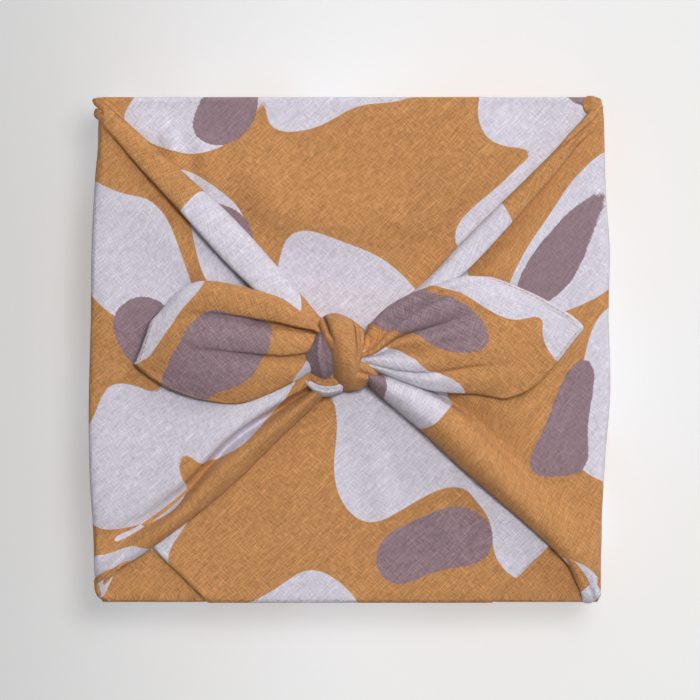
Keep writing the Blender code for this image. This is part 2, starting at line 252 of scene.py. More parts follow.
def waves(x, y):
    """The height of the soft waves that the pull of the knot makes in the top layer."""
    rise = 0 * x
    for _, x0, y0, x1, y1, left_wide, right_wide, height in WAVES:
        span = np.array((x1 - x0, y1 - y0), float)
        share = ((x - x0) * span[0] + (y - y0) * span[1]) / (span @ span)
        inside = np.clip(share, 0, 1)
        away = np.hypot(x - x0 - inside * span[0], y - y0 - inside * span[1])
        on_left = span[0] * (y - y0) > span[1] * (x - x0)
        fade = np.sin(math.pi * inside) ** 0.6
        rise = rise + height * fade * np.exp(-((away / np.where(on_left, left_wide, right_wide)) ** 2))
    return rise


line = sleeve_line()
line_yz = np.array([station[:2] for station in line])
along = arc(line_yz, 0)
middle = int(np.argmin(np.abs(line_yz[:, 0]) + 9 * (line_yz[:, 1] > 1)))
q_of_line = along - along[middle]
shares = np.linspace(-1, 1, SLEEVE_COLUMNS)
sleeve_points = np.zeros((SLEEVE_COLUMNS, len(line), 3))
sleeve_flat = np.zeros_like(sleeve_points)
for row, (y, z, kind) in enumerate(line):
    reach = abs(q_of_line[row]) - (WALL + INNER_TOP)
    half = half_width(y, z, kind, reach)
    x = shares * half
    top = z > INNER_TOP - 1
    rise = crown(x, np.full_like(x, y)) if top else 0 * x
    if kind == "outer":
        rise = rise + waves(x, y)
    out = 0 * x
    if y < -WALL + BEND and z > 5 and kind in ("inner", "front"):
        out = out - FRONT_BULGE * np.clip((np.abs(x) - 64) / 9, 0, 1) * min(1.0, z / 40)
    sleeve_points[:, row] = np.stack([x, y + out, z + rise], axis=-1)
    hem = (CLOTH_REACH - np.abs(x) - abs(q_of_line[row])) / math.sqrt(2)
    if kind in ("inner", "outer", "drop") and half < WALL:
        hem = (half - np.abs(x)) / math.sqrt(2)
    sleeve_flat[:, row] = np.stack([x, np.full_like(x, q_of_line[row]), np.minimum(hem, 60)], axis=-1)
add_grid(sleeve_points, sleeve_flat)

# %% [markdown]
# ## Folded corners
# Where the walls meet, the spare cloth of the corner turns round it and lies flat against the box,
# under the gathered side. It hardly shows, but it is what makes the upright edges soft and round.

# %% The folded corners
CORNER_FOLD = (
    # height over the floor, and how far the fold reaches along the side wall
    (3.0, 34.0),
    (16.0, 56.0),
    (30.0, 76.0),
    (44.0, 94.0),
    (57.5, 108.0),
)


def add_corner_fold(right, back, steps=12):
    """The cloth that turns round one upright edge; right and back are 1 or -1."""
    points = []
    for height, reach in CORNER_FOLD:
        row = [(right * (WALL - 5), back * WALL, height)]
        for turn in np.linspace(0, math.pi / 2, 5):
            x = WALL - BEND * (1 - math.sin(turn))
            y = WALL - BEND * (1 - math.cos(turn))
            row.append((right * x, back * y, height))
        row += [(right * WALL, back * (WALL - step), height) for step in np.linspace(6, reach, steps)]
        points.append(row)
    points = between(points, 3).swapaxes(0, 1)
    p = right * (WALL - 5 + arc(points, 0))
    q = back * (WALL + points[..., 2])
    add_grid(points, np.stack([p, q, np.full_like(q, 60)], axis=-1))


for right in (-1, 1):
    for back in (-1, 1):
        add_corner_fold(right, back)

# %% [markdown]
# ## The gathered sides
# Each side corner comes up the wall and in over the top, and is drawn together into the knot. From
# above it is a fan: a folded band along the back, a deep pleat under it, soft ridges in the middle
# and a roll along the front. Each line of the table is one fold line, from the back to the front,
# with its y and its height over the panel at six stations between the box's edge and the knot.

# %% Fold lines of the left side
LEFT_STATIONS = (122.5, 105.0, 85.0, 60.0, 35.0, 13.0)
LEFT_SIDE = (
    # name, then (y, height) at the box's edge and at each station towards the knot
    ("tucked end", (121.5, 1.2), (92, 0.7), (72, 0.7), (50, 0.7), (27, 0.8), (8, 1.2)),
    ("underside", (121.5, 1.3), (103, 1.3), (88, 1.3), (64, 1.5), (37, 2), (11, 3)),
    ("back fold", (121.5, 1.9), (106.2, 3), (89, 3.8), (67, 4.3), (39.6, 5), (13.5, 5.8)),
    ("crest of the band", (119, 2.8), (103.4, 5.6), (86, 7), (63, 7.8), (36.6, 8.4), (12.6, 8.4)),
    ("middle of the band", (115.5, 3.2), (97, 6.4), (79, 8.4), (54, 9.2), (29, 10.2), (10, 10.2)),
    ("lip of the band", (112.5, 3.2), (92, 6), (70.5, 8.6), (43, 9.4), (20, 10.6), (7, 10.4)),
    ("under the lip", (111.4, 2.4), (93, 3.4), (72, 4.8), (45, 5.4), (21, 6.4), (6.6, 7)),
    ("turn of the pleat", (110, 1.8), (94.4, 1.9), (74.5, 2.4), (48, 2.6), (23.4, 3.4), (8, 4.6)),
    ("floor of the pleat", (108, 1.4), (90.5, 1.2), (69.4, 1.2), (42, 1.3), (18.6, 1.8), (5.4, 2.8)),
    ("rise from the pleat", (99, 2.2), (83.5, 2.8), (61.5, 4.2), (35, 5.2), (13, 5.6), (2.8, 5.6)),
    ("first ridge", (82, 2.4), (69, 3.9), (50, 5.8), (27, 6.8), (8, 7.4), (0.2, 7.6)),
    ("first hollow", (48, 2.2), (40, 2.6), (28, 3.8), (13, 4.6), (1.5, 5.2), (-2.4, 5.4)),
    ("second ridge", (15, 2.6), (12, 3.4), (6, 5.2), (-1, 6.2), (-5, 7), (-5, 7.4)),
    ("second hollow", (-25, 2.2), (-22, 2.6), (-19, 3.8), (-15, 4.6), (-11.5, 5.2), (-7.6, 5.4)),
    ("third ridge", (-60, 2.4), (-54, 3.6), (-43, 5.4), (-26, 7.4), (-16, 8.4), (-9.8, 8.2)),
    ("edge over the valley", (-84, 3.2), (-77, 5), (-64, 7.4), (-41, 9.4), (-24.6, 9.6), (-12.6, 8.4)),
    ("under that edge", (-92, 1.4), (-85, 1.4), (-70.5, 1.8), (-44.4, 3.4), (-27, 4.8), (-14, 5.4)),
    ("valley", (-99, 0.9), (-90, 0.8), (-75, 0.9), (-48, 1.2), (-30, 2.4), (-15.6, 3.6)),
    ("rise of the roll", (-107, 2.8), (-94.6, 5), (-79, 6.8), (-53, 7.4), (-33.6, 7.8), (-17, 7.2)),
    ("crest of the roll", (-114, 3.4), (-98.6, 5.8), (-84, 7.8), (-59, 9), (-37.6, 9.4), (-19.4, 8.6)),
    ("front fold", (-121.5, 1.9), (-102.5, 2.4), (-88, 3.2), (-67.5, 3.8), (-43.5, 4.4), (-22.6, 4.8)),
    ("underside", (-121.5, 1.3), (-100, 1.3), (-85.5, 1.3), (-65, 1.5), (-41, 1.8), (-21.2, 2.4)),
    ("tucked end", (-121.5, 1.2), (-89, 0.7), (-70, 0.7), (-50, 0.7), (-30, 0.8), (-16.6, 1.2)),
)

# %% Fold lines of the right side
RIGHT_STATIONS = (122.5, 105.0, 85.0, 60.0, 35.0, 9.0)
RIGHT_SIDE = (
    ("tucked end", (121.5, 1.2), (88, 0.7), (66, 0.7), (41, 0.7), (20, 0.8), (7.6, 1.2)),
    ("underside", (121.5, 1.3), (99, 1.3), (78.5, 1.3), (53, 1.5), (28, 2), (10.4, 2.8)),
    ("back fold", (121.5, 1.9), (102, 2.8), (82, 3.6), (57.5, 4.2), (31.5, 4.8), (12, 5.4)),
    ("crest of the band", (119, 2.7), (100, 5.2), (80, 6.6), (55, 7.4), (29.5, 8.2), (11, 8.2)),
    ("middle of the band", (116, 3.1), (96.5, 6), (74.5, 7.8), (49, 8.6), (25, 9.6), (8.6, 9.6)),
    ("lip of the band", (114, 3.1), (92, 5.6), (69, 7.8), (42, 8.6), (19.5, 9.8), (6, 9.6)),
    ("under the lip", (112.6, 2.4), (93, 3.2), (70.4, 4.4), (44, 5), (20.6, 5.8), (5.8, 6.4)),
    ("turn of the pleat", (111.4, 1.8), (94.4, 1.9), (72.4, 2.4), (46.6, 2.6), (22.6, 3.2), (7, 4.2)),
    ("floor of the pleat", (109.6, 1.4), (90.6, 1.2), (67.4, 1.2), (40.6, 1.3), (17.8, 1.8), (4.6, 3)),
    ("rise from the pleat", (100, 2.2), (82.5, 2.8), (59, 4.4), (32.6, 5.4), (12.6, 5.6), (1.8, 5.4)),
    ("first ridge", (76, 2.6), (62, 4), (45, 5.8), (24, 6.8), (8, 7.2), (0.2, 7.2)),
    ("first hollow", (48, 2.4), (39, 2.8), (27, 3.8), (13, 4.6), (3, 5.2), (-2, 5.2)),
    ("second ridge", (16, 2.8), (13, 3.6), (8, 5.4), (1, 6.4), (-2.5, 7), (-4.2, 7.2)),
    ("second hollow", (-20, 2.4), (-17, 2.8), (-13, 4), (-9, 4.8), (-8, 5.4), (-6.2, 5.4)),
    ("third ridge", (-50, 2.8), (-44, 4), (-34, 5.4), (-21, 6.6), (-13, 7.2), (-8, 7.4)),
    ("valley", (-80, 2.2), (-72, 2.6), (-57, 3), (-33, 2.2), (-17.5, 2.4), (-9.8, 3.4)),
    ("rise of the roll", (-93, 3.2), (-82, 5.2), (-64, 7.4), (-37.5, 8.6), (-19.4, 9), (-10.4, 8)),
    ("crest of the roll", (-104, 4.2), (-90, 7.2), (-71.5, 10.2), (-47, 12.2), (-27, 12.6), (-12.6, 10.8)),
    ("face of the roll", (-112, 4), (-97, 6.8), (-78.5, 9.4), (-55.5, 11), (-34, 11.2), (-15.4, 9.4)),
    ("front fold", (-121.5, 2.2), (-102, 3.6), (-83.5, 4.8), (-62, 5.8), (-39, 6.2), (-17.4, 6.2)),
    ("underside", (-121.5, 1.4), (-100, 1.6), (-81.5, 1.8), (-60, 2), (-37, 2.2), (-16.6, 2.8)),
    ("tucked end", (-121.5, 1.2), (-86, 0.7), (-66, 0.7), (-46, 0.7), (-27, 0.8), (-13, 1.2)),
)

# %% The gathered sides
SIDE_BULGE = {
    # y along the side and how far the wall bulges there, for the left and the right side
    -1: ((-121, -95, -45, 10, 65, 100, 121), (0.8, 1.2, 4.2, 2.6, 2.2, -1.0, -1.0)),
    1: ((-121, -95, -64, -45, -25, 10, 50, 85, 121), (-1.8, -1.2, -0.6, 1.6, 3.4, 2.2, 3.0, 0.4, 0.2)),
}
WALL_LEVELS = (0.5, 15.0, 30.0, 44.0, 54.0, 59.5, 62.4)
WALL_DRAWN_IN = (0.0, 0.0, 0.0, 0.0, 0.1, 0.7, 2.0)
TUCKED = 3
TUCKED_FAR = (0.0, 26.0, 44.0, 40.0, 22.0, 5.0)
LOWEST = 0.6
EDGE_LINE = 121.5
CORNER_STATION = 117.0
TURNED_IN = 0.31
PINCH = 0.27
SEEN = 0.99
CORNER_OUT = 1.9
CORNER_IN = 1.6
LOW_FOLD = 2.5
LIFT = 0.45
ACROSS = 4
ALONG = 7


def seen(x, y):
    """The tables hold places as they look from above; this is where they are on the wrap."""
    return SEEN * x, SEEN * y - BEHIND


def far_under(places, way):
    """The line where a strip that is turned under ends, a hand's breadth beyond the given one."""
    return [(y + way * far, LOWEST) for (y, _), far in zip(places, TUCKED_FAR)]


def side_lines(table, stations, way):
    """The fold lines of one side, each from the foot of the wall to the knot."""
    lines = []
    rows = [places for _, *places in table]
    for places in [far_under(rows[0], -1)] + rows + [far_under(rows[-1], 1)]:
        edge_y = places[0][0]
        bulge = float(np.interp(edge_y, *SIDE_BULGE[way]))
        at_corner = abs(edge_y / EDGE_LINE) ** 24
        wall_y = edge_y + math.copysign(CORNER_OUT * at_corner, edge_y)
        places_up = []
        for level, drawn_in in zip(WALL_LEVELS, WALL_DRAWN_IN):
            out = OUTER_WALL + 0.1 + bulge * math.sin(math.pi / 2 * level / PANEL)
            places_up.append((way * (out - drawn_in - CORNER_IN * at_corner), wall_y, level))
        turned = TURNED_IN + PINCH * (way < 0) * min(1.0, max(0.0, (-110 - edge_y) / 10))
        (first_y, first_height), (next_y, next_height) = places[:2]
        extra = (first_y + turned * (next_y - first_y), first_height + 0.4 * (next_height - first_height))
        at = zip((stations[0], CORNER_STATION, *stations[1:]), (places[0], extra, *places[1:]))
        for x, (y, height) in at:
            x, y = seen(x, y)
            rise = float(crown(np.array(x), np.array(y)))
            lift = LIFT * max(0.0, height - LOW_FOLD) * (1 - x / stations[0])
            places_up.append((way * x, y, PANEL + rise + height + lift))
        lines.append(places_up)
    return lines


def add_side(table, stations, way):
    points = surface(side_lines(table, stations, way), ACROSS, ALONG)
    names = [row[0] for row in table]
    start = (names.index("second ridge") + 1) * ACROSS
    flat = flat_places(points, start, way * WALL, way)
    flat[..., 1] += points[start, 0, 1]
    wall_rows = len(WALL_LEVELS) * ALONG
    last = points.shape[0] - 1

    def keep(column, row):
        turned_under = column < TUCKED * ACROSS or column >= last - TUCKED * ACROSS
        return not (turned_under and row < wall_rows + ALONG // 2)

    add_grid(points, flat, keep)


add_side(LEFT_SIDE, LEFT_STATIONS, -1)
add_side(RIGHT_SIDE, RIGHT_STATIONS, 1)

# %% [markdown]
# ## The ears
# An ear is a corner of the square that comes out of the knot. Its folds start side by side in the knot
# and spread towards the two hems, which meet at the tip. The fold lines are listed from the back to the
# front, and the last point of each is on a hem. The first and the last lines are turned under, which
# gives the ear the soft rolled edges of gathered cloth.

# %% Fold lines of the ears
LEFT_EAR_X = (12.0, 18.0, 26.0, 40.0)
LEFT_EAR = (
    # name, then (y, height) at each x of LEFT_EAR_X, and (x, y, height) on the way and on the hem
    ("tucked end", (3, 11), (8, 11), (13, 11), (17, 11), (58, 20, 11), (80, 18, 10.5)),
    ("underside", (6, 12), (11.6, 12), (17.6, 12.2), (24.6, 12.4), (71, 29.8, 12), (93, 16.5, 11.5)),
    ("back outline", (7.6, 14.2), (13.4, 14.8), (19.8, 15.4), (27.4, 16.4),
     (76, 33.4, 15.4), (98.5, 14.3, 13)),
    ("roll crest", (7, 17.2), (12.2, 18.6), (17.8, 20.2), (24, 22), (77, 29.4, 19.6), (100, 10.4, 12.6)),
    ("roll slope", (6.2, 18), (10.8, 19.4), (14.8, 20.8), (19.4, 22.4), (78, 24.6, 20), (101.4, 6.8, 12)),
    ("roll lip", (5.4, 17.6), (10, 18.6), (11.6, 19.6), (14.8, 20.6), (79, 19.8, 18.8), (102.6, 3.8, 11.3)),
    ("under the lip", (5.6, 15.6), (10.6, 15.8), (12.8, 16), (15.6, 16.4),
     (79.4, 17.6, 18), (103.4, 1.8, 10.8)),
    ("crease", (4.9, 14.4), (9, 14), (10.6, 14), (13.4, 14.8), (80, 15, 17.6), (104, 0.2, 10.4)),
    ("middle, back", (3.8, 17), (7.2, 17.4), (8.2, 18), (10, 18.2), (81, 11.6, 17.6), (104.8, -1.6, 10)),
    ("middle lobe", (1.6, 18.6), (3.4, 19.4), (3.6, 20.4), (4, 20.8), (82, 6.4, 17.4), (105.6, -3.6, 9.5)),
    ("middle, edge", (-0.2, 18.2), (0.4, 18.8), (-1.6, 19.6), (-1.8, 20), (82, 2.4, 16.8), (106.3, -5.4, 9)),
    ("under that edge", (-0.4, 16.2), (0.4, 16), (-1.6, 16.2), (-2.2, 17),
     (82, -0.2, 16.2), (106.6, -6.2, 8.8)),
    ("line to the tip", (-2, 16), (-2.4, 16.2), (-4.4, 16.8), (-5.6, 17.6), (82, -3.4, 16), (107, -7, 8.6)),
    ("front lobe", (-4.4, 17), (-5.4, 17.6), (-8.8, 18.4), (-11.6, 19), (76, -12.4, 15.6), (98, -14.3, 9.4)),
    ("front slope", (-6.6, 16), (-7.8, 16.4), (-12, 17), (-17, 17.4), (68, -19.6, 14.6), (88.5, -19.8, 10.2)),
    ("front outline", (-8, 13.6), (-9.4, 14), (-14.4, 14.4), (-21.2, 14.6),
     (57, -26.2, 12.4), (74, -24.4, 10.8)),
    ("turned under", (-7.8, 11.6), (-9, 11.6), (-13.4, 11.8), (-19.6, 11.8),
     (50, -24.8, 10.6), (60, -26.6, 10.4)),
)
RIGHT_EAR_X = (4.0, 12.0, 24.0, 40.0)
RIGHT_EAR = (
    ("tucked end", (-3, 11), (6, 11), (15, 11), (22, 11), (46, 25, 11), (58, 26, 10.6)),
    ("underside", (-2.4, 12), (12, 12), (22, 12.2), (28.6, 12.4), (52, 32.4, 12.2), (63, 33.4, 11)),
    ("back outline", (-1.6, 13), (14.4, 13.6), (24.3, 14.4), (31.4, 15), (55, 35.9, 15), (68, 36, 12.8)),
    ("back strip", (-2, 15.6), (10.6, 17), (20, 18), (28.4, 18.4), (58, 34.2, 17.4), (75, 34.4, 13.4)),
    ("under first lobe", (-2.6, 15), (2.4, 15.4), (13.4, 16), (23.6, 16.6), (60, 31, 17.2), (82, 31.7, 13.2)),
    ("first lobe, edge", (-3, 17.8), (1.4, 19), (12.2, 20.2), (21.8, 20.4),
     (62, 28.6, 18.8), (89, 28.7, 13.2)),
    ("first lobe", (-3.2, 18.6), (0, 20), (9.4, 21.4), (17.6, 21.6), (64, 24.6, 19.6), (96, 25.4, 12.8)),
    ("crease lip", (-3.5, 18), (-1.6, 19), (7.4, 19.6), (13, 20), (66, 21, 19), (100, 23.2, 12.4)),
    ("first crease", (-3.7, 15.6), (-2, 15.8), (6.2, 16.2), (11, 17.6), (68, 18.2, 18.6), (104, 20.8, 12)),
    ("second lobe", (-3.9, 17.4), (-2.3, 18.4), (3.4, 19.8), (6, 20.4), (70, 13.4, 18.8), (110, 17.2, 10.8)),
    ("second crease", (-4.4, 15), (-2.9, 14.8), (-1.7, 15.4), (-1.4, 18), (72, 8.6, 18.6), (116, 11.5, 8.6)),
    ("middle lobe", (-5, 17.4), (-4.4, 18.6), (-4.8, 20), (-5, 20.6), (70, 2.4, 18.4), (112.4, 6, 9.2)),
    ("soft fold, edge", (-6, 17), (-6.6, 17.8), (-9, 19), (-9.6, 19.4), (67, -5.4, 18), (107, -1, 9.8)),
    ("by the soft fold", (-6.4, 15.6), (-7.2, 16), (-10.2, 16.6), (-11.2, 17),
     (65, -8.4, 16.8), (101.5, -8, 10.4)),
    ("front lobe", (-7, 16), (-8.4, 16.6), (-12.4, 17.4), (-14.8, 18), (61, -15, 17), (95, -15.2, 10.8)),
    ("front outline", (-8, 13), (-9.8, 13.6), (-14.4, 14.4), (-19.6, 14.8),
     (58, -20.9, 14), (87.4, -20.8, 11.4)),
    ("under the front", (-7.8, 11), (-9.2, 11.2), (-13, 11.8), (-17.6, 12), (54, -20, 12), (77, -24.3, 11.6)),
)


# %% The ears
EAR_ACROSS = 5
EAR_ALONG = 11


def distance_to(points, line):
    """How far each point is from a line of points."""
    starts, spans = line[:-1], np.diff(line, axis=0)
    away = points[..., None, :] - starts
    share = np.clip((away * spans).sum(-1) / (spans * spans).sum(-1), 0, 1)
    return np.linalg.norm(away - share[..., None] * spans, axis=-1).min(-1)


def add_ear(table, stations, way, tip_line):
    lines = []
    for _, *places in table:
        line = [(x, y, height) for x, (y, height) in zip(stations, places)]
        line += places[len(stations) :]
        lines.append([(way * SEEN * x, SEEN * y - BEHIND, PANEL + height) for x, y, height in line])
    points = surface(lines, EAR_ACROSS, EAR_ALONG)
    names = [row[0] for row in table]
    start = names.index(tip_line) * EAR_ACROSS
    root = CLOTH_REACH - arc(points[start], 0)[-1]
    flat = flat_places(points, start, way * root, way)
    flat[..., 2] = distance_to(points, points[:, -1])
    add_grid(points, flat)
    return points


left_ear = add_ear(LEFT_EAR, LEFT_EAR_X, -1, "line to the tip")
right_ear = add_ear(RIGHT_EAR, RIGHT_EAR_X, 1, "second crease")

# %% [markdown]
# ## The knot
# A square knot is two gathered ends that each go over and under the other. From above it shows one
# broad band over the top, with a petal of the other end beside it, and under both the gathers that run
# in from the front. Each is a piece of folded cloth. A section across it is an arc through three
# points, and the small folds are added to the arc as ridges and grooves that run along the piece. Under
# them are two plain rolls, which fill the knot as the bunched cloth does.

# %% Sections of the knot's pieces
BAND = (
    # each section of the band from the back to the front: left edge, crown and right edge (x, y, height)
    ((-14.6, 10.7, 3), (-7, 14.5, 4), (4.4, 8.7, 3)),
    ((-15.4, 12.5, 11), (-6.6, 16.7, 11.4), (6, 9.7, 8)),
    ((-14.6, 9.7, 17), (-4.6, 13.7, 21.4), (7.4, 6.3, 11.8)),
    ((-12.4, 4.3, 20), (-2.6, 7.5, 26.6), (7.6, 1.5, 13.6)),
    ((-9.6, -1.5, 20.6), (-1.2, 0.1, 28.2), (7, -3.5, 14)),
    ((-8.2, -6.9, 19), (-0.8, -6.9, 26.6), (6.1, -8.3, 13)),
    ((-7.7, -12.1, 15), (-1, -13.3, 21.4), (5.2, -12.9, 11)),
    ((-6.6, -16.5, 10.2), (-1, -18.7, 13.8), (4, -17.3, 8)),
    ((-4.8, -19.5, 5), (-0.8, -21.5, 5.4), (2.4, -20.3, 4.4)),
)
BAND_FOLDS = (
    # name, its place across (0 left, 1 right), half width, height, and the stretch it runs along (0 to 1)
    ("rolled left edge", 0.07, 0.06, 1.8, 0, 0.50),
    ("tuck", 0.17, 0.040, -5.2, 0.05, 0.44),
    ("edge beside the tuck", 0.25, 0.06, 0.9, 0.05, 0.45),
    ("soft hollow", 0.44, 0.10, -0.8, 0.45, 1),
    ("first fine pleat", 0.77, 0.035, -3.2, 0.08, 0.64),
    ("second fine pleat", 0.88, 0.035, -3, 0.10, 0.52),
    ("pull towards the front", 0.62, 0.07, 0.7, 0.55, 1),
)
PETAL = (
    ((-14.8, 8.4, 16), (-14, 8.6, 18), (-12.8, 7.2, 17)),
    ((-17.4, 4.3, 17.6), (-14.6, 4.4, 22), (-11.4, 2.4, 20)),
    ((-20.2, -0.3, 18), (-15, -0.8, 23.6), (-9.2, -1.4, 20.6)),
    ((-21.4, -4.8, 17), (-14.6, -5.4, 23.4), (-7.6, -5.2, 19.6)),
    ((-20, -9.8, 14.6), (-13.4, -10.2, 20.4), (-8, -9.8, 17)),
    ((-17.4, -13.6, 11.4), (-12.8, -13.8, 15.6), (-9.4, -12.4, 13.6)),
    ((-14.2, -15.8, 9), (-12.2, -16.2, 10.6), (-10.6, -15.2, 10)),
)
PETAL_FOLDS = (
    ("fold down the middle", 0.48, 0.12, 1.6, 0.05, 0.95),
    ("hollow on its right", 0.70, 0.12, -2.2, 0.15, 0.85),
)
GATHER = (
    ((-20.8, -9.4, 9.4), (-20.6, -12.6, 12.4), (-19, -16, 9.4)),
    ((-18, -12.3, 11.4), (-17.6, -15.3, 14), (-17.4, -18.8, 9.4)),
    ((-14, -13.9, 12), (-13.6, -17.1, 14.2), (-13.8, -19.8, 9.6)),
    ((-9.6, -14.5, 12), (-9, -17.5, 13.8), (-9.4, -19.8, 9.4)),
    ((-4.6, -14.5, 10.4), (-4.4, -17.3, 12), (-4.8, -19, 8.4)),
)
UNDER_GATHER = (
    ((-22.4, -14.4, 10), (-21.6, -16.6, 13.6), (-19.6, -19.2, 10)),
    ((-18.6, -16.2, 11.6), (-17.6, -19.4, 14.6), (-16.6, -22.2, 10)),
    ((-13.8, -17.3, 12), (-12.6, -20.8, 15), (-12.4, -23.6, 10)),
    ((-9, -17.3, 12), (-8.2, -20.5, 14.4), (-8.4, -22.8, 9.8)),
    ((-4, -16.5, 11), (-3.6, -19.3, 12.6), (-4.2, -21.2, 9)),
)
GATHER_FOLDS = (
    ("pleat", 0.36, 0.09, -1.3, 0, 0.9),
    ("fold", 0.62, 0.10, 0.8, 0, 1),
)
TAIL = (
    ((-1, -5, 15), (0, -12, 18), (0.6, -19.6, 9.6)),
    ((5, -5.6, 17), (4.6, -12.4, 18), (3.4, -20.4, 9.6)),
    ((9.6, -8.8, 16.4), (8.6, -13.4, 16.4), (7.4, -18.6, 9.4)),
    ((12.8, -11.8, 14), (11.8, -14.2, 14), (10.6, -16.9, 9)),
    ((14.8, -14.2, 10), (14.4, -14.8, 10.4), (13.2, -15.9, 8.6)),
)
TAIL_FOLDS = (
    ("pleat", 0.45, 0.08, -1.6, 0.1, 0.85),
    ("fold", 0.68, 0.10, 0.8, 0, 1),
)

# %% [markdown]
# The spare cloth of each corner ends in small folds that run out over the box's edge. They are made
# like the knot's pieces, from sections that go from the corner towards the knot or down the wall.

# %% Sections of the small folds at the corners
BACK_LEFT_FOLD = (
    ((-127.4, 122.8, -2.6), (-127.2, 123.2, -2), (-126.6, 123.6, -2.4)),
    ((-126.4, 120.8, -0.6), (-124.6, 122.4, 1), (-122.2, 123.6, 0)),
    ((-122.6, 117.6, 1), (-120.4, 119.4, 2.4), (-118.6, 120.2, 0.6)),
    ((-116, 112.2, 2), (-114.2, 113.8, 3.2), (-113, 114.4, 0.6)),
    ((-108.4, 106, 2.8), (-107, 107.2, 3.7), (-106.2, 107.6, 0.8)),
    ((-101, 100.4, 3.4), (-100, 101.2, 3.8), (-99.4, 101.6, 1)),
)
BACK_LEFT_UNDER = (
    ((-126.8, 116.4, -4), (-126.6, 117.4, -3.4), (-126, 118.6, -3.6)),
    ((-125.6, 114.2, -0.4), (-124, 116, 1.6), (-123, 117.6, 0.6)),
    ((-120.2, 110.4, 2), (-118.4, 112.2, 3.8), (-117.2, 113.2, 2.6)),
    ((-112.4, 103.8, 3.6), (-111.2, 105, 5), (-110.4, 105.8, 4)),
    ((-105, 98, 4.6), (-104.2, 98.8, 5.2), (-103.6, 99.4, 4.6)),
)
FRONT_RIGHT_PLEAT = (
    ((106.5, -103.3, 4.4), (107.5, -103.3, 6), (108.7, -102.7, 5.2)),
    ((109.3, -108.7, 2.4), (111.1, -108.1, 5.4), (113.1, -106.9, 4.2)),
    ((111.5, -113.9, 1.2), (114.3, -113.1, 4.4), (117.3, -111.3, 3.2)),
    ((113.9, -119.3, 0.8), (117.1, -118.5, 3.2), (120.5, -115.5, 2.2)),
    ((115.3, -123.7, -0.4), (119.1, -123.1, 1.6), (123.1, -119.1, 1)),
    ((115.7, -125.7, -4), (119.9, -125.7, -2.2), (124.1, -121.7, -2)),
    ((116.3, -125.8, -14), (120.5, -125.9, -14), (124.5, -123.3, -14)),
    ((118.3, -125.5, -30), (121.3, -125.7, -30), (123.9, -124.3, -30)),
)
BACK_RIGHT_FOLD = (
    ((114.6, 123.2, -2.6), (115.2, 121.2, -0.4), (116, 117.6, -0.6)),
    ((117.2, 124.4, -2.6), (117.6, 121.2, 1.2), (117.8, 116.2, 0.4)),
    ((120, 124.8, -2.6), (119.8, 121.2, 2.2), (119.2, 115.2, 1.4)),
    ((122.8, 123.4, -2.6), (121.8, 120.2, 2.4), (120.4, 114.6, 2.2)),
    ((124.8, 120.6, -2.6), (123.4, 118.2, 1.4), (121.6, 113.6, 2.2)),
)
CORNER_FOLDS = (
    ("crease", 0.60, 0.12, -0.9, 0.1, 0.9),
)

# %% [markdown]
# Rolls are the plainest folds: a curve through three points with a rounded section. The knot has two
# as its filling, and the corners have a few as pinched edges. The last table says which part of the
# flat cloth each piece shows, so that the print goes on over it.

# %% Rolls, and the places of the pieces on the flat cloth
ROLLS = (
    # name, start, middle and end as (x, y, height), half width, half thickness, bluntness of the ends
    ("fold of that corner", (124.8, 119.8, -3), (119, 114.2, 3.6), (102.8, 98.4, 7), 1.6, 1.7, 0.7),
    ("fold beside it", (125.2, 116, -6), (119.8, 109.8, 2.8), (106.8, 96.2, 5.6), 1.4, 1.5, 0.7),
    ("front left corner", (-123.6, -108.2, -4), (-123, -121, -1), (-114.6, -122.2, -6), 2.4, 2.6, 0.5),
    ("pinched fold", (-122, -123.2, -3), (-119.4, -112.8, 3.4), (-108.2, -104.8, 4), 0.9, 1.5, 0.8),
    ("fold by the pinch", (-126.2, -115.8, -3), (-123.2, -113.4, 2.2), (-116.8, -108.8, 4), 1.2, 1.5, 0.6),
    ("core", (-20, -4, 6), (-5, -4, 7), (11, -4, 6), 13, 6, 0.5),
    ("bundle", (-13, -2, 12), (-3, -3, 14), (8, -3, 13), 8, 6, 0.45),
)
KNOT_CLOTH = {
    # where each piece of the knot lies on the flat cloth, in millimetres from its middle
    "band": (-22, 225),
    "petal": (-473, 0),
    "gather": (40, 225),
    "under gather": (-6, 354),
    "tail": (-330, 8),
    "back left fold": (-45, 222),
    "back left under": (-40, 236),
    "front right pleat": (168, -118),
    "back right fold": (-45, 222),
}


# %% The knot
FOLD_FADE = 0.16
TURN_UNDER = 0.35
CORNER_PIECES = (
    # name, sections and how far its edges turn down
    ("back left fold", BACK_LEFT_FOLD, 2.0),
    ("back left under", BACK_LEFT_UNDER, 2.0),
    ("front right pleat", FRONT_RIGHT_PLEAT, 0.6),
    ("back right fold", BACK_RIGHT_FOLD, 1.0),
)


def through_three(first, middle, last, share):
    """The parabola that passes first at 0, middle at one half and last at 1."""
    return (
        first * (1 - share) * (1 - 2 * share)
        + middle * 4 * share * (1 - share)
        + last * share * (2 * share - 1)
    )


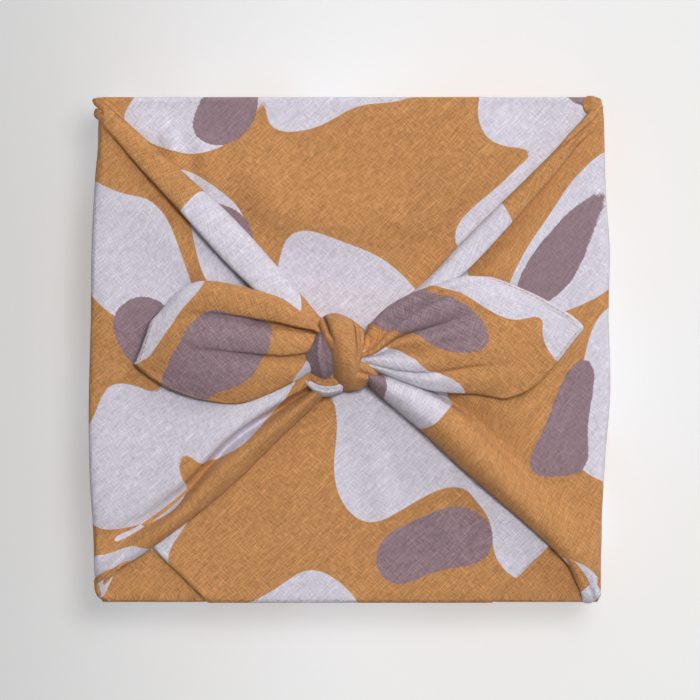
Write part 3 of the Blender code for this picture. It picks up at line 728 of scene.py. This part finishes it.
def add_knot_piece(name, sections, folds, columns=49, rows=7, turned_under=4.0):
    """A piece of the knot whose sections are arcs, with ridges and grooves along it."""
    ends = between(np.asarray(sections, float).reshape(len(sections), 9), rows)
    ends = ends.reshape(-1, 3, 3)
    across = np.linspace(0, 1, columns)[:, None, None]
    points = through_three(ends[None, :, 0], ends[None, :, 1], ends[None, :, 2], across)
    along = np.linspace(0, 1, points.shape[1])
    for _, place, half_wide, height, first, last in folds:
        stretch = np.clip(np.minimum(along - first, last - along) / FOLD_FADE + 0.15, 0, 1)
        bell = np.exp(-(((np.linspace(0, 1, columns) - place) / half_wide) ** 2))
        points[..., 2] += height * bell[:, None] * (stretch * stretch * (3 - 2 * stretch))[None]
    inward = points[3] - points[0]
    under_left = points[:1] + TURN_UNDER * inward * (1, 1, 0) - (0, 0, turned_under)
    inward = points[-4] - points[-1]
    under_right = points[-1:] + TURN_UNDER * inward * (1, 1, 0) - (0, 0, turned_under)
    points = np.concatenate([under_left, points, under_right])
    points[..., 2] += PANEL
    p, q = KNOT_CLOTH[name]
    flat = flat_places(points, columns // 2, p, 1)
    flat[..., 1] += q
    add_grid(points, flat)


def add_roll(start, middle, end, half_width, half_thick, blunt):
    """A flattened roll along a curve through three points, shaped from a sphere's rings."""
    start, middle, end = Vector(start), Vector(middle), Vector(end)
    ball = bmesh.ops.create_uvsphere(cloth, u_segments=16, v_segments=16, radius=1.0)
    for vertex in ball["verts"]:
        share = math.acos(max(-1.0, min(1.0, vertex.co.z))) / math.pi
        ahead = through_three(start, middle, end, min(share + 0.02, 1.0))
        behind = through_three(start, middle, end, max(share - 0.02, 0.0))
        along = (ahead - behind).normalized()
        side = along.cross(Vector((0, 0, 1))).normalized()
        over = side.cross(along)
        swell = math.sin(math.pi * share) ** blunt if 0.001 < share < 0.999 else 0.0
        ring = Vector((vertex.co.x, vertex.co.y)).normalized() * swell
        place = through_three(start, middle, end, share)
        place += side * ring.x * half_width + over * ring.y * half_thick
        vertex.co = (place + Vector((0, BEHIND, PANEL))) * MM
        vertex[flat_cloth] = Vector((vertex.co.x + 0.3, vertex.co.y, 0.06))


add_knot_piece("band", BAND, BAND_FOLDS)
add_knot_piece("petal", PETAL, PETAL_FOLDS, columns=31)
add_knot_piece("gather", GATHER, GATHER_FOLDS, columns=25)
add_knot_piece("under gather", UNDER_GATHER, GATHER_FOLDS, columns=25)
add_knot_piece("tail", TAIL, TAIL_FOLDS, columns=31)
for name, sections, turned_under in CORNER_PIECES:
    add_knot_piece(name, sections, CORNER_FOLDS, 13, 5, turned_under)
for name, *sizes in ROLLS:
    add_roll(*sizes)

# %% [markdown]
# ## One cloth
# All of it is one square of cloth, so it becomes one piece. The mesh is a single layer so far. Solidify
# gives it the thickness of a heavy linen, and its rims are what shows at the hems.

# %% The wrapping cloth
LINEN = 0.9
bmesh.ops.recalc_face_normals(cloth, faces=cloth.faces)
for face in cloth.faces:
    face.smooth = True
cloth_mesh = bpy.data.meshes.new("wrapping_cloth")
cloth.to_mesh(cloth_mesh)
cloth.free()
wrapping_cloth = bpy.data.objects.new("wrapping_cloth", cloth_mesh)
bpy.context.scene.collection.objects.link(wrapping_cloth)
thick = wrapping_cloth.modifiers.new("Linen thickness", "SOLIDIFY")
thick.thickness = LINEN * MM
thick.offset = 0.0
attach(wrapping_cloth, "root")
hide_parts("furoshiki_cloth")
triangles = sum(len(face.vertices) - 2 for face in cloth_mesh.polygons)
area = sum(face.area for face in cloth_mesh.polygons)
print("cloth:", triangles, "triangles in one layer,", round(area, 3), "square metres")

# %% [markdown]
# ## Stitches
# The hems are turned over twice and sewn down. Along the ears the thread shows as short stitches a
# little inside the edge. Each is a small block that lies on the cloth between two points of a seam.

# %% Stitches along the hems of the ears
STITCH_PITCH = 2.9
STITCH_LONG = 2.0
STITCH_WIDE = 0.34
SEAM_IN = 2.3
SEAMS = (
    # name, points of the ear, and the shares of its fold lines where the seam runs
    ("left ear, first hem", left_ear, 0.16, 0.74),
    ("left ear, second hem", left_ear, 0.77, 0.95),
    ("right ear, first hem", right_ear, 0.13, 0.60),
    ("right ear, second hem", right_ear, 0.64, 0.92),
)


def seam(points, inside):
    """The line on an ear's grid that runs inside its hem at a distance."""
    line = []
    for column in points:
        back = arc(column[::-1], 0)
        line.append([np.interp(inside, back, column[::-1, axis]) for axis in range(3)])
    return np.array(line)


thread = bmesh.new()
for _, points, first, last in SEAMS:
    count = len(points)
    line = seam(points, SEAM_IN)[round(first * count) : round(last * count)]
    run = arc(line, 0)
    for start in np.arange(0.6, run[-1] - STITCH_LONG, STITCH_PITCH):
        ends = [
            Vector([np.interp(at, run, line[:, axis]) for axis in range(3)])
            for at in (start, start + STITCH_LONG)
        ]
        middle = (ends[0] + ends[1]) / 2 + Vector((0, BEHIND, LINEN / 2 + 0.1))
        turn = (ends[1] - ends[0]).to_track_quat("X", "Z").to_matrix().to_4x4()
        size = Vector((STITCH_LONG, STITCH_WIDE, STITCH_WIDE))
        stitch = bmesh.ops.create_cube(thread, size=1.0)["verts"]
        bmesh.ops.scale(thread, vec=size * MM, verts=stitch)
        bmesh.ops.transform(thread, matrix=turn, verts=stitch)
        bmesh.ops.translate(thread, vec=middle * MM, verts=stitch)
stitches_mesh = bpy.data.meshes.new("hem_stitches")
thread.to_mesh(stitches_mesh)
thread.free()
hem_stitches = bpy.data.objects.new("hem_stitches", stitches_mesh)
bpy.context.scene.collection.objects.link(hem_stitches)
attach(hem_stitches, "root")
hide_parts("furoshiki_cloth")
print("stitches:", len(stitches_mesh.polygons) // 6)

# %% [markdown]
# ## Materials
# A material is a graph of nodes. Written out it is hard to read, so a small class stands for one number
# in the graph, and sums on it add the Math nodes.

# %% Sums on shader sockets
class Value:
    """One number in a material. Arithmetic on it adds Math nodes."""

    def __init__(self, finish, socket):
        self.finish, self.socket = finish, socket

    def math(self, operation, *others):
        return self.finish.node(
            "ShaderNodeMath", {"operation": operation}, dict(enumerate((self, *others)))
        )

    def __add__(self, other):
        return self.math("ADD", other)

    __radd__ = __add__

    def __sub__(self, other):
        return self.math("SUBTRACT", other)

    def __rsub__(self, other):
        return self.finish.node("ShaderNodeMath", {"operation": "SUBTRACT"}, {0: other, 1: self})

    def __mul__(self, other):
        return self.math("MULTIPLY", other)

    __rmul__ = __mul__

    def step(self, low, high):
        """0 below low, 1 above high, and smooth between them."""
        settings = {"interpolation_type": "SMOOTHSTEP"}
        sockets = {"Value": self, "From Min": low, "From Max": high}
        return self.finish.node("ShaderNodeMapRange", settings, sockets, "Result")


class Finish:
    """A material that is built up node by node."""

    def __init__(self, name):
        self.material = bpy.data.materials.new(name)
        self.material.use_nodes = True
        self.tree = self.material.node_tree
        self.shader = self.tree.nodes["Principled BSDF"]

    def put(self, socket, value):
        if isinstance(value, Value):
            self.tree.links.new(value.socket, socket)
        else:
            socket.default_value = value

    def node(self, kind, settings=None, sockets=None, output=0):
        made = self.tree.nodes.new(kind)
        for name, value in (settings or {}).items():
            setattr(made, name, value)
        for name, value in (sockets or {}).items():
            self.put(made.inputs[name], value)
        return Value(self, made.outputs[output])

    def mix(self, share, first, second):
        """The colour first where share is 0 and second where it is 1."""
        settings = {"data_type": "RGBA"}
        return self.node("ShaderNodeMix", settings, {0: share, 6: first, 7: second}, 2)

    def surface(self, **sockets):
        for name, value in sockets.items():
            self.put(self.shader.inputs[name.replace("_", " ")], value)


# %% [markdown]
# ## Printed linen
# The cloth is a slubby plain weave. Its threads run along the edges of the square, so at 45 degrees to
# the box. Each thread varies in thickness along its length, and that shows as fine streaks both ways.
# The print is drawn in the flat cloth's own coordinates, so it follows every fold: rounded pale patches
# and smaller dark ones on the ground colour. Their edges are a little uneven, because ink follows the
# threads.

# %% Colours and sizes of the print
OCHRE = (0.480, 0.232, 0.088, 1.0)
LILAC = (0.610, 0.575, 0.650, 1.0)
MAUVE = (0.262, 0.180, 0.204, 1.0)
PATCH_SPACING = 0.098
SPOT_SPACING = 0.128
THREAD = 0.00046
SLUB = 0.0042


def streaks(finish, along, across, seed, length=SLUB, width=THREAD):
    """Uneven threads: a noise that is drawn out along the thread."""
    place = finish.node(
        "ShaderNodeCombineXYZ", {}, {0: along * (1 / length), 1: across * (1 / width), 2: seed}
    )
    return finish.node("ShaderNodeTexNoise", {}, {"Vector": place, "Scale": 1.0, "Detail": 0.0}, "Fac")


def pebbles(finish, place, spacing, randomness, moved):
    """Distance from the nearest of a scatter of points, in shares of their spacing."""
    place = finish.node("ShaderNodeVectorMath", {"operation": "ADD"}, {0: place, 1: (*moved, 0.0)})
    return finish.node(
        "ShaderNodeTexVoronoi",
        {"voronoi_dimensions": "2D", "feature": "SMOOTH_F1"},
        {"Vector": place, "Scale": 1 / spacing, "Randomness": randomness, "Smoothness": 0.25},
        "Distance",
    )


def wander(finish, place, size, reach):
    """The place moved about by a soft noise, so that round shapes become uneven ones."""
    noise = finish.node(
        "ShaderNodeTexNoise",
        {"noise_dimensions": "2D"},
        {"Vector": place, "Scale": 1 / size, "Detail": 0.0},
        "Color",
    )
    shift = finish.node("ShaderNodeVectorMath", {"operation": "SUBTRACT"}, {0: noise, 1: (0.5, 0.5, 0.5)})
    shift = finish.node("ShaderNodeVectorMath", {"operation": "SCALE"}, {0: shift, "Scale": reach})
    return finish.node("ShaderNodeVectorMath", {"operation": "ADD"}, {0: place, 1: shift})


def printed_linen():
    finish = Finish("printed linen")
    place = finish.node("ShaderNodeAttribute", {"attribute_name": "flat_cloth"}, {}, "Vector")
    p, q, hem = (finish.node("ShaderNodeSeparateXYZ", {}, {0: place}, axis) for axis in "XYZ")
    warp_way = (p + q) * math.sqrt(0.5)
    weft_way = (p - q) * math.sqrt(0.5)
    warp = streaks(finish, warp_way, weft_way, 1.0)
    weft = streaks(finish, weft_way, warp_way, 8.3)
    slub = streaks(finish, warp_way, weft_way, 4.1, 0.013, 0.00052)
    cross_slub = streaks(finish, weft_way, warp_way, 6.7, 0.013, 0.00052)
    fuzz = finish.node("ShaderNodeTexNoise", {}, {"Vector": place, "Scale": 1500.0, "Detail": 1.0}, "Fac")

    uneven = wander(finish, place, 0.060, 0.042)
    patch = pebbles(finish, uneven, PATCH_SPACING, 0.62, (0.031, 0.052))
    spot = pebbles(finish, uneven, SPOT_SPACING, 0.80, (0.240, 0.130))
    ragged = (warp + weft - 1.0) * 0.007
    on_patch = 1 - (patch + ragged).step(0.362, 0.3645)
    on_spot = 1 - (spot + ragged).step(0.152, 0.155)
    colour = finish.mix(on_patch, OCHRE, LILAC)
    colour = finish.mix(on_spot, colour, MAUVE)

    shade = 1 + (warp - 0.5) * 0.66 + (weft - 0.5) * 0.66 + (fuzz - 0.5) * 0.60
    shade = shade + slub.step(0.64, 0.74) * 0.20 + cross_slub.step(0.64, 0.74) * 0.20
    shade = 1 + (shade - 1) * (1 - 0.35 * on_patch)
    colour = finish.node("ShaderNodeVectorMath", {"operation": "SCALE"}, {0: colour, "Scale": shade})

    folded_hem = 1 - hem.step(0.0020, 0.0034)
    height = (warp + weft) * 0.5 + fuzz * 0.5 + folded_hem * 1.6
    bump = finish.node(
        "ShaderNodeBump", {}, {"Height": height, "Strength": 0.5, "Distance": 0.0005}, "Normal"
    )
    finish.surface(Base_Color=colour, Roughness=0.92, Normal=bump)
    finish.surface(Specular_IOR_Level=0.15, Sheen_Weight=0.08, Sheen_Roughness=0.5)
    return finish.material


def sewing_thread():
    finish = Finish("sewing thread")
    place = finish.node("ShaderNodeTexCoord", {}, {}, "Object")
    twist = finish.node("ShaderNodeTexNoise", {}, {"Vector": place, "Scale": 2200.0}, "Fac")
    colour = finish.mix(twist, (0.40, 0.19, 0.06, 1.0), (0.60, 0.32, 0.13, 1.0))
    finish.surface(Base_Color=colour, Roughness=0.8, Specular_IOR_Level=0.2)
    return finish.material


cloth_mesh.materials.append(printed_linen())
stitches_mesh.materials.append(sewing_thread())

# %% [markdown]
# ## Card
# The box hardly shows, only as a dark line at the corners, so it is plain uncoated card with a fine
# grain.

# %% The card of the box
def plain_card():
    finish = Finish("plain card")
    place = finish.node("ShaderNodeTexCoord", {}, {}, "Object")
    grain = finish.node("ShaderNodeTexNoise", {}, {"Vector": place, "Scale": 900.0, "Detail": 3.0}, "Fac")
    colour = finish.mix(grain, (0.50, 0.37, 0.25, 1.0), (0.60, 0.47, 0.34, 1.0))
    bump = finish.node(
        "ShaderNodeBump", {}, {"Height": grain, "Strength": 0.2, "Distance": 0.0002}, "Normal"
    )
    finish.surface(Base_Color=colour, Roughness=0.85, Normal=bump)
    return finish.material


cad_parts["gift_box"].data.materials.clear()
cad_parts["gift_box"].data.materials.append(plain_card())

# %% [markdown]
# ## Floor, light and camera
# The wrap is seen from straight above on a pale floor, in soft light from the upper right, so that its
# left and front sides throw short soft shadows. In a studio, cards and screens keep the background
# bright while low light models the folds. Here a sun lamp is linked to the wrap alone, and the floor's
# glow is painted light in their place: it keeps the floor bright and its shadows pale, and fades to
# painted shade towards the left.

# %% Floor
floor_mesh = bpy.data.meshes.new("floor")
floor_shape = bmesh.new()
bmesh.ops.create_grid(floor_shape, x_segments=1, y_segments=1, size=3.0)
floor_shape.to_mesh(floor_mesh)
floor_shape.free()
floor = bpy.data.objects.new("floor", floor_mesh)
bpy.context.scene.collection.objects.link(floor)
paper = Finish("floor paper")
across_floor = paper.node("ShaderNodeTexCoord", {}, {}, "Object")
across_floor = paper.node("ShaderNodeSeparateXYZ", {}, {0: across_floor}, "X")
# Painted light: the floor's emission stands in for bounce light. It is bright on the right and fades to
# painted shade towards the left.
painted_glow_share = across_floor.step(-0.26, 0.03)
paper.surface(Base_Color=(0.73, 0.73, 0.73, 1.0), Roughness=0.95, Specular_IOR_Level=0.0)
paper.surface(
    Emission_Color=paper.mix(painted_glow_share, (0.245, 0.245, 0.245, 1.0), (0.475, 0.475, 0.475, 1.0)),
    Emission_Strength=1.0,
)
floor_mesh.materials.append(paper.material)

# %% Light
world = bpy.data.worlds.new("studio")
world.use_nodes = True
world.node_tree.nodes["Background"].inputs["Color"].default_value = (1.0, 1.0, 1.0, 1.0)
world.node_tree.nodes["Background"].inputs["Strength"].default_value = 0.20
bpy.context.scene.world = world

OVERHEAD = (0.26, 0.28, 1.65)
LIGHTS = (
    # name, kind, where it comes from, its power or strength, its size or angle, and if it lights the floor
    ("overhead", "AREA", OVERHEAD, 9.0, 0.45, True),
    ("window light", "SUN", (0.62, 0.66, 0.50), 1.15, 0.40, False),
)
TARGET = (0.0, 0.0, 0.05)
cloth_only = bpy.data.collections.new("lit by the window")
for piece in (wrapping_cloth, hem_stitches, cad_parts["gift_box"]):
    cloth_only.objects.link(piece)
for name, kind, place, power, size, on_floor in LIGHTS:
    light = bpy.data.lights.new(name, kind)
    light.energy = power
    if kind == "SUN":
        light.angle = size
    else:
        light.size = size
    lamp = bpy.data.objects.new(name, light)
    lamp.location = place
    lamp.rotation_euler = (Vector(TARGET) - Vector(place)).to_track_quat("-Z", "Y").to_euler()
    if not on_floor:
        lamp.light_linking.receiver_collection = cloth_only
    bpy.context.scene.collection.objects.link(lamp)
bpy.context.scene.view_settings.view_transform = "Standard"

# %% Camera
CAMERA_UP = 1.66
FRAME_WIDE = 0.3465
SEEN_LEVEL = 0.062
lens = bpy.data.cameras.new("camera")
lens.sensor_width = 36.0
lens.lens = 36.0 * (CAMERA_UP - SEEN_LEVEL) / FRAME_WIDE
camera = bpy.data.objects.new("camera", lens)
camera.location = (0.0, 0.0, CAMERA_UP)
bpy.context.scene.collection.objects.link(camera)
bpy.context.scene.camera = camera
print("lens:", round(lens.lens), "mm")
